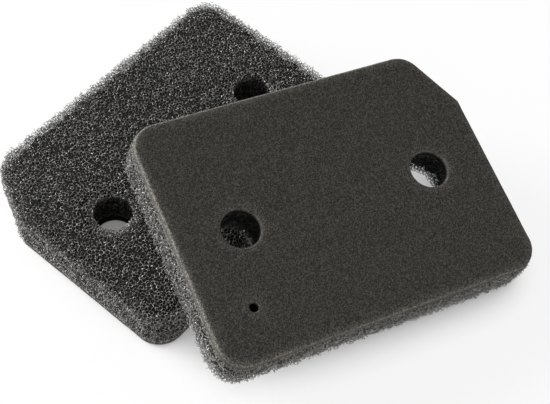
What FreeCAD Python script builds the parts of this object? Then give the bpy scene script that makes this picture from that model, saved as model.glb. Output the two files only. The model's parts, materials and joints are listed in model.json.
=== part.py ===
"""A pair of two-layer filter sponges, one lying flat and one leaning on its edge.

Both sponges are the same piece: a fine-pored layer bonded to an open, coarse one,
cut to one outline with two large holes and a pin hole through both layers.
The lower sponge lies with its fine face down. The upper one lies fine face up, with
its coarse face on the lower sponge's long rim and one corner down on the surface.

Millimetres, +Z up. The origin is the centre of the lower sponge's underside,
midway between its two large holes. +X runs along the lower sponge's length.
"""
import FreeCAD, Part
import math
import os

Vector = FreeCAD.Vector
Placement = FreeCAD.Placement
Rotation = FreeCAD.Rotation
X_AXIS = Vector(1, 0, 0)
Z_AXIS = Vector(0, 0, 1)

# Outline of one sponge's fine layer
pad_length = 210.0
pad_width = 155.0
corner_radius = 16.0
cut_corner_along = 20.0        # how much of the long side the cut-off corner takes
cut_corner_across = 40.0       # how much of the short side it takes
cut_corner_radius = 4.0        # where the cut meets the short side

# Layers
fine_thickness = 6.0
coarse_thickness = 24.0
coarse_reach = 1.0             # how far the coarse layer stands out past the fine one
fine_rim_round = 2.0           # rounding of the fine face's outer edge

# Adhesive web between the layers, sunk into the coarse layer
web_thickness = 0.4
web_margin = 3.0               # how far the web stays inside every edge and hole

# Holes through both layers
hole_diameter = 24.0
hole_spacing = 128.0
pin_hole_diameter = 5.8
pin_hole_from_end = 29.0
pin_hole_from_side = 31.0

# How the upper sponge lies
rest_turn = 155.7              # its turn about its own face, in degrees
rest_shift = -21.1             # its centre along the lower sponge's rim
rest_overhang = 18.3           # its centre beyond that rim, in its own plane
rest_clearance = 0.3           # soft faces stay this far apart

pad_thickness = fine_thickness + coarse_thickness
rim_y = pad_width / 2 + coarse_reach
through = 2 * pad_thickness    # length of a cutter that passes through a sponge


def outline_corners():
    """The five corners, seen from the fine side: x, y and the radius of each."""
    right = pad_length / 2
    top = pad_width / 2
    return [
        (-right, -top, corner_radius),
        (right, -top, corner_radius),
        (right, top - cut_corner_across, cut_corner_radius),
        (right - cut_corner_along, top, corner_radius),
        (-right, top, corner_radius),
    ]


def corner_arc(before, corner, after):
    """Start, middle, end and centre of the arc that rounds one corner."""
    point = Vector(corner[0], corner[1], 0)
    radius = corner[2]
    back = (Vector(before[0], before[1], 0) - point).normalize()
    ahead = (Vector(after[0], after[1], 0) - point).normalize()
    half_angle = back.getAngle(ahead) / 2
    tangent = radius / math.tan(half_angle)
    inward = (back + ahead).normalize()
    centre = point + inward * (radius / math.sin(half_angle))
    return point + back * tangent, centre - inward * radius, point + ahead * tangent, centre


def corner_arcs():
    """The arc of every corner, in order round the outline."""
    corners = outline_corners()
    count = len(corners)
    return [corner_arc(corners[i - 1], corners[i], corners[(i + 1) % count]) for i in range(count)]


def outline_face():
    """The flat outline of the fine layer, in the plane of its face."""
    arcs = corner_arcs()
    edges = []
    for i, (start, middle, end, _) in enumerate(arcs):
        previous_end = arcs[i - 1][2]
        edges.append(Part.LineSegment(previous_end, start).toShape())
        edges.append(Part.Arc(start, middle, end).toShape())
    return Part.Face(Part.Wire(edges))


def hole_places():
    """Centre and diameter of every hole."""
    pin_x = pin_hole_from_end - pad_length / 2
    pin_y = pin_hole_from_side - pad_width / 2
    return [
        (-hole_spacing / 2, 0, hole_diameter),
        (hole_spacing / 2, 0, hole_diameter),
        (pin_x, pin_y, pin_hole_diameter),
    ]


def without_holes(solid, extra_radius=0.0):
    """The solid with every hole cut through it, each larger by extra_radius."""
    for x, y, diameter in hole_places():
        base = Vector(x, y, -through / 2)
        solid = solid.cut(Part.makeCylinder(diameter / 2 + extra_radius, through, base))
    return solid


def slab(face, top, thickness):
    """A flat plate below the height top, cut to the shape of face."""
    plate = face.extrude(Vector(0, 0, -thickness))
    plate.translate(Vector(0, 0, top))
    return plate


def fine_layer():
    """The smooth layer, with the outer edge of its face rounded."""
    plate = slab(outline_face(), 0, fine_thickness)
    face_edges = [e for e in plate.Edges if e.BoundBox.ZMin > -fine_thickness / 2]
    return without_holes(plate.makeFillet(fine_rim_round, face_edges))


def bond_web():
    """The adhesive between the layers, kept inside every edge and hole."""
    inner = outline_face().makeOffset2D(-web_margin)
    return without_holes(slab(inner, -fine_thickness, web_thickness), web_margin)


def coarse_layer():
    """The open-celled layer, a little larger all round, with a shallow recess that the web fills."""
    outer = outline_face().makeOffset2D(coarse_reach)
    plate = without_holes(slab(outer, -fine_thickness, coarse_thickness))
    return plate.cut(bond_web())


def lower_placement():
    """Fine face down on the surface: the sponge is turned over about its length."""
    return Placement(Vector(0, 0, 0), Rotation(X_AXIS, 180))


def upper_placement():
    """Coarse face down on the lower sponge's rim, with one corner on the surface.

    Turned flat, the sponge's farthest point beyond the rim is its reach. The rim
    line is one thickness and the clearance up, so the sine of the tilt is that
    height divided by the reach, which brings the far corner down to the surface.
    """
    turn = Rotation(Z_AXIS, rest_turn)
    low_points = []
    for (_, _, radius), (_, _, _, centre) in zip(outline_corners(), corner_arcs()):
        low_points.append(turn.multVec(centre).y + radius + coarse_reach)
    reach = max(low_points) + rest_overhang
    rim_height = pad_thickness + rest_clearance
    tilt = math.degrees(math.asin(rim_height / reach))
    flat = Placement(Vector(0, rest_overhang, pad_thickness), turn)
    tipped = Placement(Vector(rest_shift, rim_y, rim_height), Rotation(X_AXIS, -tilt))
    return tipped.multiply(flat)


def main():
    os.makedirs("parts", exist_ok=True)
    layers = {
        "fine_layer": fine_layer(),
        "bond_web": bond_web(),
        "coarse_layer": coarse_layer(),
    }
    placements = {"lower": lower_placement(), "upper": upper_placement()}
    for pad, placement in placements.items():
        for layer, shape in layers.items():
            piece = shape.copy()
            piece.Placement = placement.multiply(piece.Placement)
            piece.exportStep(f"parts/{pad}_{layer}.step")


main()
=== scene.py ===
"""A pair of two-layer filter sponges: open-celled coarse foam bonded to fine-pored foam.

Each sponge is worked out once in its own pad frame, in metres: x along its length, y across
its width, and z out of its fine face, which lies at z = 0. The coarse layer is a real net of
struts over a dark inner core, a sheet of painted shade that stands for the deeper struts in shade.
Both sponges are then placed by their own two large holes.
"""
import json
import math

import bpy
import numpy as np
from mathutils import Euler, Matrix, Vector
from mathutils.geometry import delaunay_2d_cdt


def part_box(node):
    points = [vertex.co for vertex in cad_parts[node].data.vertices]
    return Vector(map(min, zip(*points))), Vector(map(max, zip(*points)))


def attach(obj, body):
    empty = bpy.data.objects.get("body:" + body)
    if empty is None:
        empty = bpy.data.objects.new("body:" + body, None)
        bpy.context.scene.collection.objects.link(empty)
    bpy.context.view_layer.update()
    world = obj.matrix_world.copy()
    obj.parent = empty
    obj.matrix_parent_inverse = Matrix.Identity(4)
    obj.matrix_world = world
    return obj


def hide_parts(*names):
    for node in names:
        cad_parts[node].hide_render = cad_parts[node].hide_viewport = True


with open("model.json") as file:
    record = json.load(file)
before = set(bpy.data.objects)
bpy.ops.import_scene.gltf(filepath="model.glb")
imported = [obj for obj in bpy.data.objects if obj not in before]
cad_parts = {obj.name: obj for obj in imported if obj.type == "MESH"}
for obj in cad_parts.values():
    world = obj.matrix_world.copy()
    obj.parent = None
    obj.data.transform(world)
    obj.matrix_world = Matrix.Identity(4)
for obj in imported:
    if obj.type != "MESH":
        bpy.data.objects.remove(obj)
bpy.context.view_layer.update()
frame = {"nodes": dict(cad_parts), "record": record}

MM = 0.001
merge_distance = 1e-7            # points nearer than this are one point

# ---------------------------------------------------------------- sizes

# From the frame
fine_low, fine_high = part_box("lower_fine_layer")
coarse_low, coarse_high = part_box("lower_coarse_layer")
mounts = {m["name"]: m for m in frame["record"]["mounts"]}

pad_length = fine_high.x - fine_low.x
pad_width = fine_high.y - fine_low.y
coarse_reach = (coarse_high.x - coarse_low.x - pad_length) / 2
fine_thickness = fine_high.z - fine_low.z
pad_thickness = coarse_high.z - fine_low.z

# The outline's corners
corner_radius = 16 * MM
cut_corner_along = 20 * MM
cut_corner_across = 40 * MM
cut_corner_radius = 4 * MM
least_corner_radius = 0.4 * MM   # what an arc keeps when the outline moves inward

# The fine layer
fine_pore = 0.62 * MM
rim_round = 1.9 * MM
hole_round = 1.4 * MM
pin_round = 0.5 * MM

# The core under the struts: a dark sheet of painted shade
strut_depth = 1.2 * MM           # inside the rim, the open face and the large holes
pin_core_gap = 1.0 * MM          # round the pin hole
face_bevel = 8.2 * MM            # how far its bevel reaches along the open face
wall_bevel = 10.0 * MM           # how far its bevel reaches down the walls
bevel_roughness = 4.0 * MM       # how far noise moves the bevel

# The strut net
cell_size = 2.66 * MM            # each cell fills half of a cube of this side
cube_cells = 432                 # cells in the cube of foam that repeats
strut_radius = 0.176 * MM
strut_variation = 0.22           # a strut is thicker or thinner by up to this share
raggedness = 1.45 * MM           # how far noise moves the cut surface
edge_depth = 3.0 * MM            # how deep struts reach where the core is bevelled away
core_overlap = 0.15 * MM         # how far inside the core a node may lie
shortest_stub = 0.1 * MM
stub_taper = 0.9                 # a cut strut's end, as a share of its start

# Seeds of the random draws
net_seed = 5
thickness_seed = 20              # added to net_seed
surface_seed = 33
core_seed = 91
wave_seed = 71
ripple_seed = 75


class Pad:
    """Where one sponge lies: its axes and the centre of its fine face."""

    def __init__(self, name):
        """Find the axes and the centre from the two large holes, and then the pin hole's place."""
        hole_a = np.array(mounts[f"{name}_hole_a"]["pos_m"])
        hole_b = np.array(mounts[f"{name}_hole_b"]["pos_m"])
        pin = np.array(mounts[f"{name}_pin_hole"]["pos_m"])
        out = np.array(mounts[f"{name}_hole_a"]["axis"])
        along = (hole_b - hole_a) / np.linalg.norm(hole_b - hole_a)
        self.name = name
        self.axes = np.stack([along, np.cross(out, along), out])
        self.centre = (hole_a + hole_b) / 2 + out * pad_thickness / 2
        self.pin = self.axes[:2] @ (pin - self.centre)
        self.hole_x = float(np.linalg.norm(hole_b - hole_a) / 2)

    def place(self, points):
        """Pad frame to the shared frame: centre + x * along + y * across + z * out."""
        return points @ self.axes + self.centre


pads = [Pad("lower"), Pad("upper")]
hole_radius = mounts["lower_hole_a"]["dims"]["r_mm"] * MM
pin_radius = mounts["lower_pin_hole"]["dims"]["r_mm"] * MM
holes = [
    (-pads[0].hole_x, 0.0, hole_radius),
    (pads[0].hole_x, 0.0, hole_radius),
    (pads[0].pin[0], pads[0].pin[1], pin_radius),
]

# ---------------------------------------------------------------- noise


def value_noise(points, scale, seed):
    """Smooth noise from -1 to 1: random values on a lattice of the given scale.

    Between lattice points the values are blended by s * s * (3 - 2 * s). Three large odd
    factors spread the lattice points over the table.
    """
    table_size = 4096
    factors = np.array([73856093, 19349663, 83492791])
    table = np.random.default_rng(seed).uniform(-1, 1, table_size)
    q = points / scale
    cell = np.floor(q).astype(np.int64)
    s = q - cell
    s = s * s * (3 - 2 * s)
    total = np.zeros(len(points))
    for corner in np.ndindex(2, 2, 2):
        offset = np.array(corner)
        key = (cell + offset) @ factors
        weight = np.prod(np.where(offset, s, 1 - s), axis=1)
        total += weight * table[key % table_size]
    return total


def noise_vectors(points, scale, seed):
    """Three independent value noises as one displacement."""
    return np.stack([value_noise(points, scale, seed + k) for k in range(3)], axis=1)


# ---------------------------------------------------------------- the outline


def cross_2d(a, b):
    """The z part of the cross product of flat vectors."""
    return a[..., 0] * b[..., 1] - a[..., 1] * b[..., 0]


def corner_points():
    """The five corners seen from the fine side, counter-clockwise: x, y and radius."""
    x = pad_length / 2
    y = pad_width / 2
    return np.array([
        (-x, -y, corner_radius),
        (x, -y, corner_radius),
        (x, y - cut_corner_across, cut_corner_radius),
        (x - cut_corner_along, y, corner_radius),
        (-x, y, corner_radius),
    ])


def corner_arcs(inset):
    """Centre, radius, first angle and turn of each corner's arc, for the outline moved in by inset.

    The sides before and after a corner are shifted along their normals, which moves the
    corner by inset / cos(turn / 2) along its bisector. The arc keeps what is left of its radius.
    """
    corners = corner_points()
    ahead = np.roll(corners[:, :2], -1, axis=0) - corners[:, :2]
    ahead /= np.linalg.norm(ahead, axis=1)[:, None]
    behind = np.roll(ahead, 1, axis=0)
    turn = np.arctan2(cross_2d(behind, ahead), np.sum(behind * ahead, axis=1))
    inward = np.stack([-ahead[:, 1], ahead[:, 0]], axis=1)
    inward_behind = np.roll(inward, 1, axis=0)
    bisector = inward + inward_behind
    bisector /= np.linalg.norm(bisector, axis=1)[:, None]
    radius = np.maximum(corners[:, 2] - inset, least_corner_radius)
    centre = corners[:, :2] + bisector * ((inset + radius) / np.cos(turn / 2))[:, None]
    first = np.arctan2(-inward_behind[:, 1], -inward_behind[:, 0])
    return centre, radius, first, turn


def on_circle(centre, radius, angle):
    """Points of a circle: centre + radius * (cos, sin)."""
    return centre + radius * np.stack([np.cos(angle), np.sin(angle)], axis=-1)


def outline(inset, spacing):
    """Closed outline moved inward by inset, as points about spacing apart.

    Arcs and straight sides follow each other. The number of points depends only on the
    spacing, so outlines at different insets can be joined row by row.
    """
    whole = corner_points()
    centre, radius, first, turn = corner_arcs(inset)
    rows = []
    count = len(whole)
    for i in range(count):
        j = (i + 1) % count
        steps = max(4, int(round(whole[i, 2] * turn[i] / spacing)))
        angle = first[i] + turn[i] * np.linspace(0, 1, steps + 1)
        arc = on_circle(centre[i], radius[i], angle)
        side_end = on_circle(centre[j], radius[j], first[j])
        side = np.linalg.norm(whole[j, :2] - whole[i, :2]) - whole[i, 2] - whole[j, 2]
        steps = max(2, int(round(side / spacing)))
        t = np.linspace(0, 1, steps + 1)[1:-1, None]
        rows.append(arc)
        rows.append(arc[-1] * (1 - t) + side_end * t)
    return np.vstack(rows)


def edge_distance(xy):
    """Signed distance to the outline, negative inside.

    Beside a corner's arc it is the distance to the arc's centre less its radius, and
    elsewhere the largest distance past any side.
    """
    corners = corner_points()
    ahead = np.roll(corners[:, :2], -1, axis=0) - corners[:, :2]
    ahead /= np.linalg.norm(ahead, axis=1)[:, None]
    outward = np.stack([ahead[:, 1], -ahead[:, 0]], axis=1)
    distance = np.max(xy @ outward.T - np.sum(corners[:, :2] * outward, axis=1), axis=1)
    centre, radius, _, _ = corner_arcs(0.0)
    for i in range(len(corners)):
        away = xy - centre[i]
        beside = (away @ ahead[i - 1] > 0) & (away @ ahead[i] < 0)
        distance[beside] = np.linalg.norm(away[beside], axis=1) - radius[i]
    return distance


def hole_distances(xy):
    """Distance from each hole's wall, one column per hole, negative in the foam."""
    columns = [radius - np.linalg.norm(xy - (x, y), axis=1) for x, y, radius in holes]
    return np.stack(columns, axis=1)


# ---------------------------------------------------------------- meshes


def loft(rings):
    """Quads between each closed ring of points and the next."""
    count = len(rings[0])
    here = np.arange(count)
    after = (here + 1) % count
    band = np.stack([here, after, after + count, here + count], axis=1)
    faces = np.vstack([band + r * count for r in range(len(rings) - 1)])
    return np.vstack(rings), faces


def with_height(xy, z):
    """The flat points lifted to one height."""
    return np.column_stack([xy, np.full(len(xy), z)])


def flat_face(loops, z, spacing):
    """Triangles at height z that fill the first loop and leave out the others.

    A triangular lattice of points fills the area, clear of every loop by half its spacing,
    and a constrained Delaunay triangulation joins it to the loops. It is given the points
    scaled by 1 - draw * r^2, which leaves no three of them in a line along a side. The
    triangles that it makes inside a hole are then left out.
    """
    low = loops[0].min(axis=0)
    high = loops[0].max(axis=0)
    rows = np.arange(low[1], high[1], spacing * math.sqrt(0.75))
    columns = np.arange(low[0], high[0], spacing)
    grid_x, grid_y = np.meshgrid(columns, rows)
    grid_x = grid_x + (np.arange(len(rows)) % 2)[:, None] * spacing / 2
    grid = np.stack([grid_x.ravel(), grid_y.ravel()], axis=1)
    inset = -float(np.median(edge_distance(loops[0])))
    keep = edge_distance(grid) < -inset - spacing / 2
    for loop in loops[1:]:
        middle = loop.mean(axis=0)
        reach = np.linalg.norm(loop[0] - middle)
        keep &= np.linalg.norm(grid - middle, axis=1) > reach + spacing / 2
    edges = []
    start = 0
    for loop in loops:
        index = np.arange(len(loop)) + start
        edges.append(np.stack([index, np.roll(index, -1)], axis=1))
        start += len(loop)
    xy = np.vstack([*loops, grid[keep]])
    draw = 4.0
    bowed = xy * (1 - draw * np.sum(xy * xy, axis=1, keepdims=True))
    flat = [Vector(p) for p in bowed.tolist()]
    inside_only = 1
    edges = np.vstack(edges).tolist()
    made = delaunay_2d_cdt(flat, edges, [], inside_only, merge_distance, False)
    faces = np.array(made[2])
    middles = xy[faces].mean(axis=1)
    for loop in loops[1:]:
        middle = loop.mean(axis=0)
        flat_reach = np.linalg.norm(loop[0] - middle) * math.cos(math.pi / len(loop))
        outside = np.linalg.norm(middles - middle, axis=1) > flat_reach
        faces = faces[outside]
        middles = middles[outside]
    a, b, c = (xy[faces[:, k]] for k in range(3))
    clockwise = cross_2d(b - a, c - a) < 0
    faces[clockwise] = faces[clockwise][:, ::-1]
    return with_height(xy, z), faces


def weld(parts):
    """Join (points, faces) parts, merging points that coincide.

    Returns the points, every face's corners in one row, and how many corners each face has.
    """
    points = np.vstack([p for p, _ in parts])
    grid = np.round(points / merge_distance).astype(np.int64)
    _, first, same = np.unique(grid, axis=0, return_index=True, return_inverse=True)
    same = same.ravel()
    corners = []
    sizes = []
    start = 0
    for p, f in parts:
        corners.append(same[f + start].ravel())
        sizes.append(np.full(len(f), f.shape[1]))
        start += len(p)
    return points[first], np.concatenate(corners), np.concatenate(sizes)


def face_atlas(sizes):
    """Map coordinates that give each face, of three or four corners, its own square of a grid."""
    across = int(math.ceil(math.sqrt(len(sizes))))
    face = np.repeat(np.arange(len(sizes)), sizes)
    starts = np.cumsum(sizes) - sizes
    corner = np.arange(len(face)) - np.repeat(starts, sizes)
    square = np.array([(0.15, 0.15), (0.85, 0.15), (0.85, 0.85), (0.15, 0.85)])
    return (np.stack([face % across, face // across], axis=1) + square[corner]) / across


def mesh_object(name, pad, mesh_parts, material, attribute, smooth=True, atlas=False):
    """A piece of a sponge: pad-frame points placed in the shared frame, riding on its body.

    Points that would lie under the floor are lifted onto it.
    """
    points, corners, sizes = mesh_parts
    mesh = bpy.data.meshes.new(name)
    mesh.vertices.add(len(points))
    placed = pad.place(points)
    placed[:, 2] = np.maximum(placed[:, 2], 0)
    mesh.vertices.foreach_set("co", placed.astype(np.float32).ravel())
    mesh.loops.add(len(corners))
    mesh.loops.foreach_set("vertex_index", corners.astype(np.int32))
    mesh.polygons.add(len(sizes))
    mesh.polygons.foreach_set("loop_start", (np.cumsum(sizes) - sizes).astype(np.int32))
    mesh.update(calc_edges=True)
    mesh.polygons.foreach_set("use_smooth", np.full(len(sizes), smooth))
    label, values = attribute
    layer = mesh.attributes.new(label, "FLOAT", "POINT")
    layer.data.foreach_set("value", values.astype(np.float32))
    if atlas:
        layer = mesh.uv_layers.new(name="OFBake")
        layer.data.foreach_set("uv", face_atlas(sizes).astype(np.float32).ravel())
    mesh.materials.append(material)
    obj = bpy.data.objects.new(name, mesh)
    bpy.context.scene.collection.objects.link(obj)
    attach(obj, f"{pad.name}_pad")
    return obj


def slab(rim_profile, hole_profiles, ring_spacing, upper_spacing, lower_spacing):
    """A closed plate: a profile carried round the outline, one round each hole, and two flat faces.

    A profile is a list of (inset, z) from the upper face down to the lower one. For a hole
    the inset is how much wider than the hole the ring is.
    """
    rings = [with_height(outline(inset, ring_spacing), z) for inset, z in rim_profile]
    points, faces = loft(rings)
    parts = [(points, faces[:, ::-1])]
    upper = [rings[0][:, :2]]
    lower = [rings[-1][:, :2]]
    for (x, y, radius), profile in zip(holes, hole_profiles):
        count = max(20, int(round(2 * math.pi * radius / ring_spacing)))
        angle = np.arange(count) * 2 * math.pi / count
        rings = [with_height(on_circle((x, y), radius + wider, angle), z) for wider, z in profile]
        parts.append(loft(rings))
        upper.append(rings[0][:, :2])
        lower.append(rings[-1][:, :2])
    parts.append(flat_face(upper, rim_profile[0][1], upper_spacing))
    points, faces = flat_face(lower, rim_profile[-1][1], lower_spacing)
    parts.append((points, faces[:, ::-1]))
    return weld(parts)


def rounded_edge(radius, steps):
    """A quarter round from the face at z = 0 down to the side, as (inset, z) points.

    At the angle a, the inset is radius * (1 - sin a) and z is -radius * (1 - cos a).
    """
    angle = np.linspace(0, math.pi / 2, steps + 1)
    return list(zip(radius * (1 - np.sin(angle)), -radius * (1 - np.cos(angle))))


# ---------------------------------------------------------------- the strut net


def spread_sites(count, rng):
    """Cell centres in a unit cube that repeats: random points that push each other apart.

    In each round, a pair nearer than the reach of an even packing moves apart, each site by
    a share of what the pair lacks.
    """
    rounds = 80
    share = 0.25
    close_packing = 1.12
    sites = rng.uniform(0, 1, (count, 3))
    reach = close_packing * count ** (-1 / 3)
    for _ in range(rounds):
        away = sites[:, None] - sites[None]
        away -= np.round(away)
        distance = np.linalg.norm(away, axis=2) + np.eye(count)
        push = np.clip(reach - distance, 0, None) / distance * share
        sites = (sites + np.sum(away * push[:, :, None], axis=1)) % 1
    return sites


def empty_spheres(sites, nearest=26):
    """Every four neighbouring sites whose circumscribed sphere holds no other site.

    With a, b and c the ways from one site to three of its nearest, the sphere's centre is
    (|a|^2 b x c + |b|^2 c x a + |c|^2 a x b) / (2 a . b x c). Returns the centres, the four
    sites, and the whole cubes by which each site is shifted.
    """
    tiny = 1e-12
    count = len(sites)
    away = sites[None] - sites[:, None]
    shift = -np.round(away).astype(int)
    away = away + shift
    order = np.argsort(np.linalg.norm(away, axis=2), axis=1)[:, 1:nearest + 1]
    triples = np.array([(i, j, k) for i in range(nearest) for j in range(i) for k in range(j)])
    centres, members, shifts = [], [], []
    for site in range(count):
        ways = away[site, order[site]]
        a, b, c = (ways[triples[:, k]] for k in range(3))
        bc = np.cross(b, c)
        scale = 2 * np.sum(a * bc, axis=1)
        aa, bb, cc = (np.sum(v * v, axis=1)[:, None] for v in (a, b, c))
        scale[np.abs(scale) < tiny] = tiny
        centre = (aa * bc + bb * np.cross(c, a) + cc * np.cross(a, b)) / scale[:, None]
        margin = np.sum(ways * ways, axis=1)[None] - 2 * centre @ ways.T
        rows = np.arange(len(triples))[:, None]
        margin[rows, triples] = 1
        empty = np.all(margin > 0, axis=1)
        others = order[site][triples]
        empty &= np.all(others > site, axis=1)
        centres.append(sites[site] + centre[empty])
        members.append(np.column_stack([np.full(empty.sum(), site), others[empty]]))
        moved = shift[site, others[empty]]
        shifts.append(np.concatenate([np.zeros((len(moved), 1, 3), int), moved], axis=1))
    return np.concatenate(centres), np.concatenate(members), np.concatenate(shifts)


def foam_cube(count, seed):
    """One repeating cube of random open foam: its nodes, and the four neighbours of each.

    A node is the centre of an empty sphere through four cell centres, and two nodes that
    share three cell centres are joined by a strut. The nodes are then evened out: each
    moves part of the way to the mean of its neighbours. A neighbour is given as a step in
    whole cubes and a node number, in an order whose opposite directions make a
    right-handed tetrahedron.
    """
    evening_rounds = 3
    evening_share = 0.3
    nodes, members, shifts = empty_spheres(spread_sites(count, np.random.default_rng(seed)))
    faces = np.array([(1, 2, 3), (0, 2, 3), (0, 1, 3), (0, 1, 2)])
    sites = members[:, faces].reshape(-1, 3)
    moved = shifts[:, faces].reshape(-1, 3, 3)
    order = np.argsort(sites, axis=1)
    sites = np.take_along_axis(sites, order, axis=1)
    moved = np.take_along_axis(moved, order[:, :, None], axis=1)
    # Each face gets one number: its three sites, and six differences from -2 to 2 as digits
    apart = (moved[:, 1:] - moved[:, :1] + 2).reshape(-1, 6)
    key = sites @ np.array([count * count, count, 1]) * 5 ** 6 + apart @ 5 ** np.arange(6)
    order = np.argsort(key, kind="stable")
    first, second = order[0::2], order[1::2]
    mate = np.empty(len(key), int)
    mate[first] = second
    mate[second] = first
    partner = (mate // 4).reshape(-1, 4)
    steps = (moved[:, 0] - moved[mate, 0]).reshape(-1, 4, 3)
    for _ in range(evening_rounds):
        nodes = nodes + evening_share * ((nodes[partner] + steps).mean(axis=1) - nodes)
    ways = nodes[partner] + steps - nodes[:, None]
    flip = np.linalg.det(ways[:, 1:] - ways[:, :1]) > 0
    partner[flip] = partner[flip][:, [0, 1, 3, 2]]
    steps[flip] = steps[flip][:, [0, 1, 3, 2]]
    return nodes, steps, partner


def coarse_surface(points):
    """Signed distance to the coarse layer's ragged surface, negative inside.

    Noise about the size of a cell moves the cut surface: in and out at the rim, and only
    inward at the open face and in the holes.
    """
    xy = points[:, :2]
    z = points[:, 2]
    ragged = raggedness * value_noise(points, 0.8 * cell_size, surface_seed)
    inward = np.maximum(ragged, 0)
    rim = edge_distance(xy) - coarse_reach + ragged
    bores = hole_distances(xy).max(axis=1) + inward
    return np.maximum.reduce([rim, bores, z + fine_thickness, inward - pad_thickness - z])


def painted_strut_shade(points):
    """How dark a strut is painted, as painted shade for the shade inside the foam: from 0 at the cut
    surface to 1 at strut_depth below it.

    Near a hole this painted shade also grows with depth, from 0 at shade_start below the open face to
    1 when it is shade_run further down.
    """
    shade_start = 1.5 * MM
    shade_run = 8 * MM
    bores = hole_distances(points[:, :2]).max(axis=1)
    down = (points[:, 2] + pad_thickness - shade_start) / shade_run
    down = np.where(bores > -edge_depth, down, 0)
    return np.clip(np.maximum(-coarse_surface(points) / strut_depth, down), 0, 1)


def wall_distance(xy):
    """Signed distance to the coarse layer's rim or a large hole's wall, negative in the foam."""
    return np.maximum(edge_distance(xy) - coarse_reach, hole_distances(xy)[:, :2].max(axis=1))


def bevel_wander(points):
    """How far inside its plane the core's bevel lies: noise on a lattice of 1.5 cells."""
    return bevel_roughness * value_noise(points, 1.5 * cell_size, core_seed)


# Unit normal of the core's bevel: its part towards the wall and its part towards the open face
bevel_normal = np.array([wall_bevel - strut_depth, face_bevel - strut_depth])
bevel_normal /= np.linalg.norm(bevel_normal)


def core_surface(points):
    """Signed distance to the inner core, negative inside.

    The core stays strut_depth inside the rim, the open face and the large holes. A bevel
    through the points face_bevel in from the wall and wall_bevel down from the open face
    cuts its edge there, so that light passes through the foam's edge. Noise moves the bevel
    in and out, so that the core's painted shade fades out rather than stopping at a line.
    """
    xy = points[:, :2]
    below = -pad_thickness - points[:, 2]
    bores = hole_distances(xy)
    walls = wall_distance(xy)
    along, down = bevel_normal
    bevel = (walls + face_bevel) * along + (below + strut_depth) * down
    bevel += bevel_wander(points)
    pin = bores[:, 2] + pin_core_gap
    return np.maximum.reduce([walls + strut_depth, below + strut_depth, bevel, pin])


def net_nodes(seed):
    """Nodes of the strut net near the coarse layer's surface, and the four neighbours of each.

    The repeating foam cube is turned by three odd angles, so that no two stretches of a
    surface cut it alike, and warped slowly, so that cells differ in size. A neighbour that
    isn't among the nodes is -1.
    """
    odd_angles = (0.45, 0.31, 0.62)
    margin = 1.3 * cell_size
    warp = 0.16 * cell_size
    warp_scale = 4.3 * cell_size
    basis, steps, partner = foam_cube(cube_cells, seed)
    count = len(basis)
    turn = Euler(odd_angles).to_matrix()
    lattice = np.array(turn) * cell_size * (cube_cells / 2) ** (1 / 3)
    middle = np.array([0, 0, -(fine_thickness + pad_thickness) / 2])
    layer = np.array([pad_length, pad_width, pad_thickness - fine_thickness])
    half = layer / 2 + coarse_reach + cell_size
    reach = np.ceil(np.abs(np.linalg.inv(lattice)) @ half).astype(int) + 1
    ranges = [np.arange(-r, r) for r in reach]
    cubes = np.stack(np.meshgrid(*ranges, indexing="ij"), axis=-1).reshape(-1, 1, 3)
    points = (cubes + basis).reshape(-1, 3) @ lattice.T + middle
    near = np.all(np.abs(points - middle) < half, axis=1)
    near[near] = coarse_surface(points[near]) < margin
    near[near] = core_surface(points[near]) > -margin
    near[near] = coarse_surface(points[near]) > -edge_depth - margin
    node = np.flatnonzero(near)
    compact = np.full(len(points) + 1, -1)
    compact[node] = np.arange(len(node))
    place, number = np.divmod(node, count)
    beside = cubes[place] + steps[number] + reach
    within = np.all((beside >= 0) & (beside < 2 * reach), axis=2)
    cube_number = (beside[..., 0] * 2 * reach[1] + beside[..., 1]) * 2 * reach[2] + beside[..., 2]
    neighbours = compact[np.where(within, cube_number * count + partner[number], len(points))]
    points = points[node]
    return points + warp * noise_vectors(points, warp_scale, seed), neighbours


# The face opposite each corner of a right-handed tetrahedron, seen from outside
OPPOSITE_FACE = np.array([(1, 2, 3), (0, 3, 2), (0, 1, 3), (0, 2, 1)])


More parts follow.
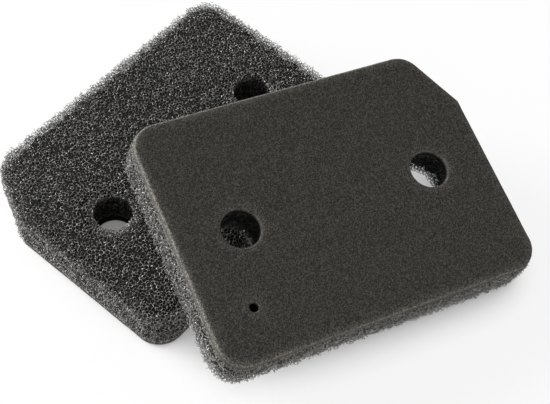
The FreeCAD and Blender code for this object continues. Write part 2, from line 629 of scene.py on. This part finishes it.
def strut_net(seed, piece_count):
    """The open foam as piece_count closed meshes, each (points, corners, sizes) and its points'
    painted shade.

    Every node is a small tetrahedron with a corner opposite each of its four struts, at
    -radius * direction, so that a face looks along each strut. A strut joins the facing
    triangles of two nodes by three quads. A strut that leaves the foam is cut off at the
    surface, and one that enters the core or another piece ends there with a cap.
    """
    points, neighbours = net_nodes(seed)
    surface = coarse_surface(points)
    core = core_surface(points)
    whole = (surface < 0) & (surface > -edge_depth) & (core > -core_overlap)
    node = np.flatnonzero(whole & np.all(neighbours >= 0, axis=1))
    compact = np.full(len(points), -1)
    compact[node] = np.arange(len(node))
    around = neighbours[node]
    here = points[node]
    ways = points[around] - here[:, None]
    lengths = np.linalg.norm(ways, axis=2)
    ways /= lengths[:, :, None]
    thickness = value_noise(here, 0.5 * cell_size, seed + thickness_seed)
    radius = strut_radius * (1 + strut_variation * thickness)
    tetra = here[:, None] - radius[:, None, None] * ways
    # painted shade of each node: darker below the cut surface and down the holes
    depth = painted_strut_shade(here)
    bounds = np.quantile(here[:, 0], np.linspace(0, 1, piece_count + 1)[1:-1])
    piece = np.searchsorted(bounds, here[:, 0])

    other = compact[around]
    joined = (other >= 0) & (piece[other] == piece[:, None])
    own, slot = np.nonzero(joined & (other > np.arange(len(node))[:, None]))
    mate = other[own, slot]
    mate_slot = np.argmax(other[mate] == own[:, None], axis=1)
    face_a = own[:, None] * 4 + OPPOSITE_FACE[slot]
    face_b = mate[:, None] * 4 + OPPOSITE_FACE[mate_slot][:, ::-1]
    corner = tetra.reshape(-1, 3)
    turned = np.stack([np.roll(face_b, s, axis=1) for s in range(3)], axis=1)
    spread = np.sum((corner[face_a][:, None] - corner[turned]) ** 2, axis=(2, 3))
    face_b = turned[np.arange(len(own)), np.argmin(spread, axis=1)]

    end_node, end_slot = np.nonzero(~joined)
    target = around[end_node, end_slot]
    outside = surface[target] >= 0
    crossing = surface[node[end_node]] / (surface[node[end_node]] - surface[target])
    share = np.where(outside, crossing, np.where(compact[target] >= 0, 0.5, 1.0))
    run = np.maximum(share * lengths[end_node, end_slot], shortest_stub)
    base = end_node[:, None] * 4 + OPPOSITE_FACE[end_slot]
    base_points = corner[base]
    middle = base_points.mean(axis=1, keepdims=True)
    tip_centre = here[end_node] + ways[end_node, end_slot] * run[:, None]
    tips = tip_centre[:, None] + (base_points - middle) * stub_taper
    tip_index = len(corner) + np.arange(len(tips) * 3).reshape(-1, 3)
    tip_painted_shade = painted_strut_shade(tips.reshape(-1, 3))

    all_points = np.vstack([corner, tips.reshape(-1, 3)])
    all_painted_shade = np.concatenate([np.repeat(depth, 4), tip_painted_shade])
    start = np.vstack([face_a, base])
    finish = np.vstack([face_b, tip_index])
    start_next = np.roll(start, -1, axis=1)
    finish_next = np.roll(finish, -1, axis=1)
    sides = np.stack([start, start_next, finish_next, finish], axis=2)
    sides_piece = np.repeat(piece[np.concatenate([own, end_node])], 3)
    sides = sides.reshape(-1, 4)
    caps_piece = piece[end_node]
    made = []
    for k in range(piece_count):
        quads = sides[sides_piece == k]
        caps = tip_index[caps_piece == k]
        corners = np.concatenate([quads.ravel(), caps.ravel()])
        used, renumbered = np.unique(corners, return_inverse=True)
        sizes = np.concatenate([np.full(len(quads), 4), np.full(len(caps), 3)])
        made.append(((all_points[used], renumbered.ravel(), sizes), all_painted_shade[used]))
    return made


# ---------------------------------------------------------------- materials


def new_material(name):
    """A material, the function that links sockets, its shader, and a function that adds nodes."""
    material = bpy.data.materials.new(name)
    material.use_nodes = True
    tree = material.node_tree
    shader = tree.nodes["Principled BSDF"]

    def add(kind, **settings):
        """A new node, with each setting given to its property or else to its input socket."""
        node = tree.nodes.new(kind)
        for key, value in settings.items():
            if hasattr(node, key):
                setattr(node, key, value)
            else:
                node.inputs[key.replace("_", " ")].default_value = value
        return node

    return material, tree.links.new, shader, add


def colour_ramp(add, stops):
    """A colour ramp node with (position, (r, g, b)) stops."""
    ramp = add("ShaderNodeValToRGB")
    elements = ramp.color_ramp.elements
    while len(elements) < len(stops):
        elements.new(0.5)
    for element, (position, colour) in zip(elements, stops):
        element.position = position
        element.color = (*colour, 1)
    return ramp


def strut_material():
    """Dark, slightly glossy struts, a little mottled, with painted shade: paler at the cut surface
    and darker inside.
    """
    mottle_share = 0.35
    material, link, shader, add = new_material("coarse foam struts")
    place = add("ShaderNodeTexCoord")
    # the depth attribute carries the struts' painted shade
    depth = add("ShaderNodeAttribute", attribute_name="depth")
    mottle = add("ShaderNodeTexNoise", Scale=420.0, Detail=2.0)
    link(place.outputs["Object"], mottle.inputs["Vector"])
    shift = add("ShaderNodeMath", operation="MULTIPLY_ADD")
    shift.inputs[1].default_value = mottle_share
    link(mottle.outputs["Fac"], shift.inputs[0])
    link(depth.outputs["Fac"], shift.inputs[2])
    # painted shade: pale struts at the cut surface, dark ones deep inside and down the holes
    ramp = colour_ramp(add, [
        (0.15, (0.33, 0.32, 0.302)),
        (0.6, (0.19, 0.183, 0.172)),
        (1.0, (0.055, 0.053, 0.049)),
    ])
    link(shift.outputs[0], ramp.inputs["Fac"])
    link(ramp.outputs["Color"], shader.inputs["Base Color"])
    shader.inputs["Roughness"].default_value = 0.35
    shader.inputs["Specular IOR Level"].default_value = 0.75
    return material


def core_shade_material():
    """The dark depth of the coarse foam: painted shade standing for the deeper struts, with faint
    painted lines of light where deeper struts would catch it.

    Towards the fine layer it grows paler, as painted light, up to 1 + seam_light_lift times as pale.
    """
    line_spacing = 0.8 * cell_size
    seam_light_lift = 9.0
    material, link, shader, add = new_material("coarse foam painted shade")
    place = add("ShaderNodeTexCoord")
    cells = add("ShaderNodeTexVoronoi", feature="DISTANCE_TO_EDGE", Scale=1 / line_spacing)
    link(place.outputs["Object"], cells.inputs["Vector"])
    # painted shade: a near-black core, with faint paler painted lines where deeper struts would catch
    # light
    ramp = colour_ramp(add, [(0.03, (0.022, 0.0215, 0.02)), (0.16, (0.004, 0.004, 0.004))])
    link(cells.outputs["Distance"], ramp.inputs["Fac"])
    # painted light: the core grows paler towards the fine layer
    seam = add("ShaderNodeAttribute", attribute_name="seam")
    lift = add("ShaderNodeMath", operation="MULTIPLY_ADD")
    lift.inputs[1].default_value = seam_light_lift
    lift.inputs[2].default_value = 1.0
    link(seam.outputs["Fac"], lift.inputs[0])
    lifted = add("ShaderNodeVectorMath", operation="SCALE")
    link(ramp.outputs["Color"], lifted.inputs[0])
    link(lift.outputs[0], lifted.inputs["Scale"])
    link(lifted.outputs["Vector"], shader.inputs["Base Color"])
    shader.inputs["Roughness"].default_value = 0.85
    shader.inputs["Specular IOR Level"].default_value = 0.15
    return material


def fine_material():
    """Warm dark grey fine-pored foam: thin strands round pores, the pores painted darker as shade in
    their hollows, each with its own random brightness.
    """
    strand_colour = (0.078, 0.0733, 0.0657)
    material, link, shader, add = new_material("fine foam")
    place = add("ShaderNodeTexCoord")
    # this attribute carries painted light and shade: highlights at the edges, light on the sides,
    # shade down the holes
    light_and_shade = add("ShaderNodeAttribute", attribute_name="light_and_shade")
    edges = add("ShaderNodeTexVoronoi", feature="DISTANCE_TO_EDGE", Scale=1 / fine_pore)
    pores = add("ShaderNodeTexVoronoi", feature="F1", Scale=1 / fine_pore)
    for node in (edges, pores):
        link(place.outputs["Object"], node.inputs["Vector"])
    own = add("ShaderNodeSeparateColor")
    link(pores.outputs["Color"], own.inputs["Color"])
    # pores painted darker than the strands, as shade in their hollows, with a random brightness each
    inside = colour_ramp(add, [
        (0.0, (0.0035, 0.0032, 0.0028)),
        (0.45, (0.0205, 0.0192, 0.0172)),
        (1.0, (0.119, 0.1115, 0.1000)),
    ])
    link(own.outputs["Red"], inside.inputs["Fac"])
    strand = colour_ramp(add, [(0.02, (1, 1, 1)), (0.16, (0, 0, 0))])
    link(edges.outputs["Distance"], strand.inputs["Fac"])
    mix = add("ShaderNodeMix", data_type="RGBA", blend_type="MIX")
    mix.inputs["B"].default_value = (*strand_colour, 1)
    link(strand.outputs["Color"], mix.inputs["Factor"])
    link(inside.outputs["Color"], mix.inputs["A"])
    painted_colour = add("ShaderNodeVectorMath", operation="SCALE")
    link(mix.outputs["Result"], painted_colour.inputs[0])
    link(light_and_shade.outputs["Fac"], painted_colour.inputs["Scale"])
    link(painted_colour.outputs["Vector"], shader.inputs["Base Color"])
    bump = add("ShaderNodeBump", Strength=0.6, Distance=0.2 * MM)
    bump.invert = True
    link(edges.outputs["Distance"], bump.inputs["Height"])
    link(bump.outputs["Normal"], shader.inputs["Normal"])
    shader.inputs["Roughness"].default_value = 0.9
    shader.inputs["Specular IOR Level"].default_value = 0.1
    return material


def web_material():
    """The adhesive web: a grey film with a pale, stringy pattern."""
    string_spacing = 3.0 * MM
    material, link, shader, add = new_material("adhesive web")
    place = add("ShaderNodeTexCoord")
    strings = add("ShaderNodeTexVoronoi", feature="DISTANCE_TO_EDGE", Scale=1 / string_spacing)
    link(place.outputs["Object"], strings.inputs["Vector"])
    ramp = colour_ramp(add, [(0.05, (0.42, 0.40, 0.36)), (0.2, (0.12, 0.115, 0.105))])
    link(strings.outputs["Distance"], ramp.inputs["Fac"])
    link(ramp.outputs["Color"], shader.inputs["Base Color"])
    shader.inputs["Roughness"].default_value = 0.45
    return material


# ---------------------------------------------------------------- the pieces of a sponge


def painted_fine_light(points):
    """How pale the fine foam is painted at each point, as painted light and shade: 1 on its flat
    face.

    An edge adds a painted highlight of strength * e^(d / glow_width) * level, where d is the distance
    to the edge, negative inside. Level is 1 down to level_start, and deeper it falls by the bell
    curve e^-((depth - level_start) / level_run)^2. Then painted light of side_light * (1 - level) is
    added on the sides. Down a hole's wall painted shade makes it fall to 1 - hole_dark of this.
    """
    rim_strength = 1.5
    hole_strength = 0.6
    hole_border = 2.5 * MM
    glow_width = 1.75 * MM
    level_start = 0.7 * MM
    level_run = 0.9 * MM
    side_light = 0.2
    hole_dark = 0.9
    dark_border = 0.6 * MM
    dark_start = 0.8 * MM
    dark_run = 1.5 * MM
    depth = -points[:, 2]
    bores = hole_distances(points[:, :2]).max(axis=1)
    distance = np.maximum(edge_distance(points[:, :2]), bores)
    # painted shade down a hole's wall
    hole_shade = np.clip((depth - dark_start) / dark_run, 0, 1) * (bores > -dark_border)
    level = np.exp(-(np.maximum(depth - level_start, 0) / level_run) ** 2)
    strength = np.where(bores > -hole_border, hole_strength, rim_strength)
    # painted highlight along the rim and the hole edges
    glow = strength * np.exp(np.minimum(distance, 0) / glow_width) * level
    return (1 + glow + side_light * (1 - level)) * (1 - hole_dark * hole_shade)


def build_fine_layer(pad, material):
    """The fine layer: rounded rim and hole edges, sides a little drawn in, faces not quite flat.

    Two noises, a wave and a finer ripple, move every point except near the bonded face.
    Those points also sink by as much as the noises can lift them.
    """
    foot_chamfer = 0.3 * MM
    wave_size = 0.10 * MM
    ripple_size = 0.06 * MM
    sink = 0.16 * MM                 # wave_size + ripple_size
    fixed_height = 0.5 * MM
    side = [(0.05 * MM, -3.2 * MM), (0.10 * MM, -4.6 * MM)]
    foot = [(0.0, -fine_thickness + foot_chamfer), (foot_chamfer, -fine_thickness)]
    rim = rounded_edge(rim_round, steps=7) + side + foot
    wall = rounded_edge(hole_round, steps=5) + side + foot
    pin_wall = rounded_edge(pin_round, steps=3) + side + foot
    points, corners, sizes = slab(
        rim,
        [wall, wall, pin_wall],
        ring_spacing=1.3 * MM,
        upper_spacing=2.2 * MM,
        lower_spacing=7 * MM,
    )
    # painted light and shade of the fine foam
    light_and_shade = painted_fine_light(points)
    fixed = points[:, 2] < -fine_thickness + fixed_height
    wave = wave_size * noise_vectors(points, 9 * MM, wave_seed)
    wave += ripple_size * noise_vectors(points, 2.6 * MM, ripple_seed)
    wave[:, 2] -= sink
    points = points + np.where(fixed[:, None], 0, wave)
    name = f"{pad.name}_fine_foam"
    obj = mesh_object(name, pad, (points, corners, sizes), material, ("light_and_shade", light_and_shade))
    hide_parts(f"{pad.name}_fine_layer")


def build_coarse_core(pad, material):
    """The dark inside of the coarse layer, a sheet of painted shade under the struts, bevelled where
    the open face meets its walls.

    The core widens a little where it meets the fine layer. Rings carry the bevel from its
    shoulder on the walls to the open face. Their points move along z by the bevel's wander
    divided by the z part of its normal. This swing fades out at the open face, and points
    round the pin hole have none.
    """
    bevel_rings = 8
    full_swing = 0.25                # share of the bevel's height at which the swing is whole
    above_shoulder = 1.01            # share of its height above which nothing swings
    pin_border = 1.5 * pin_core_gap
    roughness = 0.15 * MM
    rough_start = 1 * MM
    glow_reach = 2 * MM
    top = -fine_thickness
    bottom = -pad_thickness + strut_depth
    shoulder = -pad_thickness + wall_bevel
    middle = (top + shoulder) / 2
    share = np.linspace(0, 1, bevel_rings)
    bevel_inset = strut_depth + (face_bevel - strut_depth) * share
    bevel_height = shoulder + (bottom - shoulder) * share
    seam = [(0.35 * MM, top), (0.5 * MM, top - 0.7 * MM), (strut_depth, top - 1.8 * MM)]
    below = [(strut_depth, middle), *zip(bevel_inset, bevel_height)]
    wall = seam + below
    rim = [(inset - coarse_reach, z) for inset, z in wall]
    pin_wall = [(min(inset, pin_core_gap), z) for inset, z in seam]
    pin_wall += [(pin_core_gap, z) for _, z in below]
    points, corners, sizes = slab(
        rim,
        [wall, wall, pin_wall],
        ring_spacing=1.6 * MM,
        upper_spacing=8 * MM,
        lower_spacing=2.2 * MM,
    )
    height = (points[:, 2] - bottom) / (shoulder - bottom)
    swing = np.where(height < above_shoulder, np.clip(height / full_swing, 0, 1), 0)
    at_pin = hole_distances(points[:, :2])[:, 2] > -pin_border
    swing = np.where(at_pin, 0, swing)
    points[:, 2] += swing * bevel_wander(points) / bevel_normal[1]
    points[:, 2] = np.maximum(points[:, 2], bottom)
    rough = np.where(points[:, 2] < top - rough_start, roughness, 0)
    points = points + rough[:, None] * noise_vectors(points, 2.8 * MM, core_seed)
    # painted light on the core: 1 at the fine layer, fading out glow_reach below it
    lit = np.clip((points[:, 2] - top) / glow_reach + 1, 0, 1)
    name = f"{pad.name}_coarse_core"
    obj = mesh_object(name, pad, (points, corners, sizes), material, ("seam", lit))
    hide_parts(f"{pad.name}_coarse_layer")


def build_struts(pad, material, net):
    """The open net of struts, in pieces along the sponge."""
    for number, (mesh_parts, painted_shades) in enumerate(net, 1):
        name = f"{pad.name}_coarse_struts_{number}"
        # painted shade of the struts, carried as the depth attribute
        depth = ("depth", painted_shades)
        obj = mesh_object(name, pad, mesh_parts, material, depth, smooth=False, atlas=True)
        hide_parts(f"{pad.name}_coarse_layer")


# ---------------------------------------------------------------- floor, light and camera


def seen_directly(tree):
    """A socket that is 1 for camera, mirror and see-through rays, and 0 for other light."""
    ray = tree.nodes.new("ShaderNodeLightPath")
    total = ray.outputs["Is Camera Ray"]
    for other in ("Is Glossy Ray", "Is Transmission Ray"):
        both = tree.nodes.new("ShaderNodeMath")
        both.operation = "ADD"
        both.use_clamp = True
        tree.links.new(total, both.inputs[0])
        tree.links.new(ray.outputs[other], both.inputs[1])
        total = both.outputs[0]
    return total


def build_floor():
    """A wide white floor that still takes the sponges' soft shadow.

    What is seen directly is a blend of a lit white surface and a white glow. The glow's
    share falls towards the sponges, by a curve of how much of the sky each point sees.
    """
    half = 3.0
    white = 0.92
    sky_reach = 0.035
    glow_shares = [(0.0, 0.10), (0.35, 0.22), (0.5, 0.42), (0.62, 0.68), (0.8, 0.87)]
    mesh = bpy.data.meshes.new("floor")
    corners = [(-half, -half, 0), (half, -half, 0), (half, half, 0), (-half, half, 0)]
    mesh.from_pydata(corners, [], [(0, 1, 2, 3)])
    material, link, shader, add = new_material("white floor")
    shader.inputs["Base Color"].default_value = (white, white, white, 1)
    shader.inputs["Roughness"].default_value = 0.9
    shader.inputs["Specular IOR Level"].default_value = 0.1
    glow = add("ShaderNodeEmission", Strength=1.0)
    seen = seen_directly(material.node_tree)
    open_sky = add("ShaderNodeAmbientOcclusion", Distance=sky_reach)
    lift = colour_ramp(add, [(sky, (level, level, level)) for sky, level in glow_shares])
    share = add("ShaderNodeMath", operation="MULTIPLY")
    blend = add("ShaderNodeMixShader")
    link(open_sky.outputs["AO"], lift.inputs["Fac"])
    link(seen, share.inputs[0])
    link(lift.outputs["Color"], share.inputs[1])
    link(share.outputs[0], blend.inputs["Fac"])
    link(shader.outputs["BSDF"], blend.inputs[1])
    link(glow.outputs["Emission"], blend.inputs[2])
    output = next(n for n in material.node_tree.nodes if n.type == "OUTPUT_MATERIAL")
    link(blend.outputs["Shader"], output.inputs["Surface"])
    mesh.materials.append(material)
    floor = bpy.data.objects.new("floor", mesh)
    bpy.context.scene.collection.objects.link(floor)


def area_light(name, position, aim, size, power):
    """A square area lamp at position, facing aim."""
    lamp = bpy.data.lights.new(name, "AREA")
    lamp.size = size
    lamp.energy = power
    obj = bpy.data.objects.new(name, lamp)
    obj.location = position
    obj.rotation_euler = (Vector(aim) - Vector(position)).to_track_quat("-Z", "Y").to_euler()
    bpy.context.scene.collection.objects.link(obj)


def build_camera():
    """The camera: aimed at a point on the floor, by heading, height above the horizon and roll.

    The aim is then shifted a little across the camera's view and up it. Returns the
    camera's level right-hand direction and the direction in which it looks.
    """
    aim = np.array([-0.02364, 0.05688, 0.0])
    shift_right = -0.0003
    shift_up = 0.0006
    heading = math.radians(215.16)
    height = math.radians(55.57)
    roll = math.radians(6.18)
    distance = 0.8062
    lens = 82.52
    forward = np.array([
        math.cos(heading) * math.cos(height),
        math.sin(heading) * math.cos(height),
        -math.sin(height),
    ])
    level_right = np.array([math.sin(heading), -math.cos(heading), 0.0])
    level_down = np.cross(forward, level_right)
    right = math.cos(roll) * level_right - math.sin(roll) * level_down
    up = -(math.sin(roll) * level_right + math.cos(roll) * level_down)
    aim = aim + shift_right * right + shift_up * up
    place = Matrix.Identity(4)
    for column, axis in enumerate((right, up, -forward, aim - forward * distance)):
        for row in range(3):
            place[row][column] = axis[row]
    data = bpy.data.cameras.new("camera")
    data.lens = lens
    data.sensor_width = 36
    data.clip_start = 0.01
    camera = bpy.data.objects.new("camera", data)
    camera.matrix_world = place
    bpy.context.scene.collection.objects.link(camera)
    bpy.context.scene.camera = camera
    return level_right, forward


def build_light(level_right, forward):
    """Even white surroundings and two lamps.

    One lamp is large, like a window to the left of the sponges. The other is small and low,
    in front and to the right. The surroundings light things dimly but look white.
    """
    surroundings = 0.33
    world = bpy.data.worlds.new("white room")
    world.use_nodes = True
    nodes = world.node_tree.nodes
    back = nodes["Background"]
    back.inputs["Color"].default_value = (1, 1, 1, 1)
    lift = nodes.new("ShaderNodeMath")
    lift.operation = "MULTIPLY_ADD"
    lift.inputs[1].default_value = 1 - surroundings
    lift.inputs[2].default_value = surroundings
    world.node_tree.links.new(seen_directly(world.node_tree), lift.inputs[0])
    world.node_tree.links.new(lift.outputs[0], back.inputs["Strength"])
    bpy.context.scene.world = world
    ahead = np.array([forward[0], forward[1], 0.0])
    ahead /= np.linalg.norm(ahead)
    window = -2.7 * level_right + 0.9 * ahead + np.array([0, 0, 0.86])
    area_light("window", window, aim=(0, 0.05, 0.03), size=1.7, power=236.0)
    card = 0.8 * level_right - 1.9 * ahead + np.array([0, 0, 0.28])
    area_light("low card", card, aim=(0, 0.08, 0.02), size=0.5, power=16.0)


# ---------------------------------------------------------------- assembly

level_right, forward = build_camera()
build_light(level_right, forward)
build_floor()

fine = fine_material()
struts = strut_material()
core = core_shade_material()
web = web_material()
net = strut_net(net_seed, piece_count=5)
for pad in pads:
    build_fine_layer(pad, fine)
    build_coarse_core(pad, core)
    build_struts(pad, struts, net)
    node = frame["nodes"][f"{pad.name}_bond_web"]
    for slot in node.material_slots:
        slot.material = web

scene = bpy.context.scene
scene.view_settings.view_transform = "Standard"
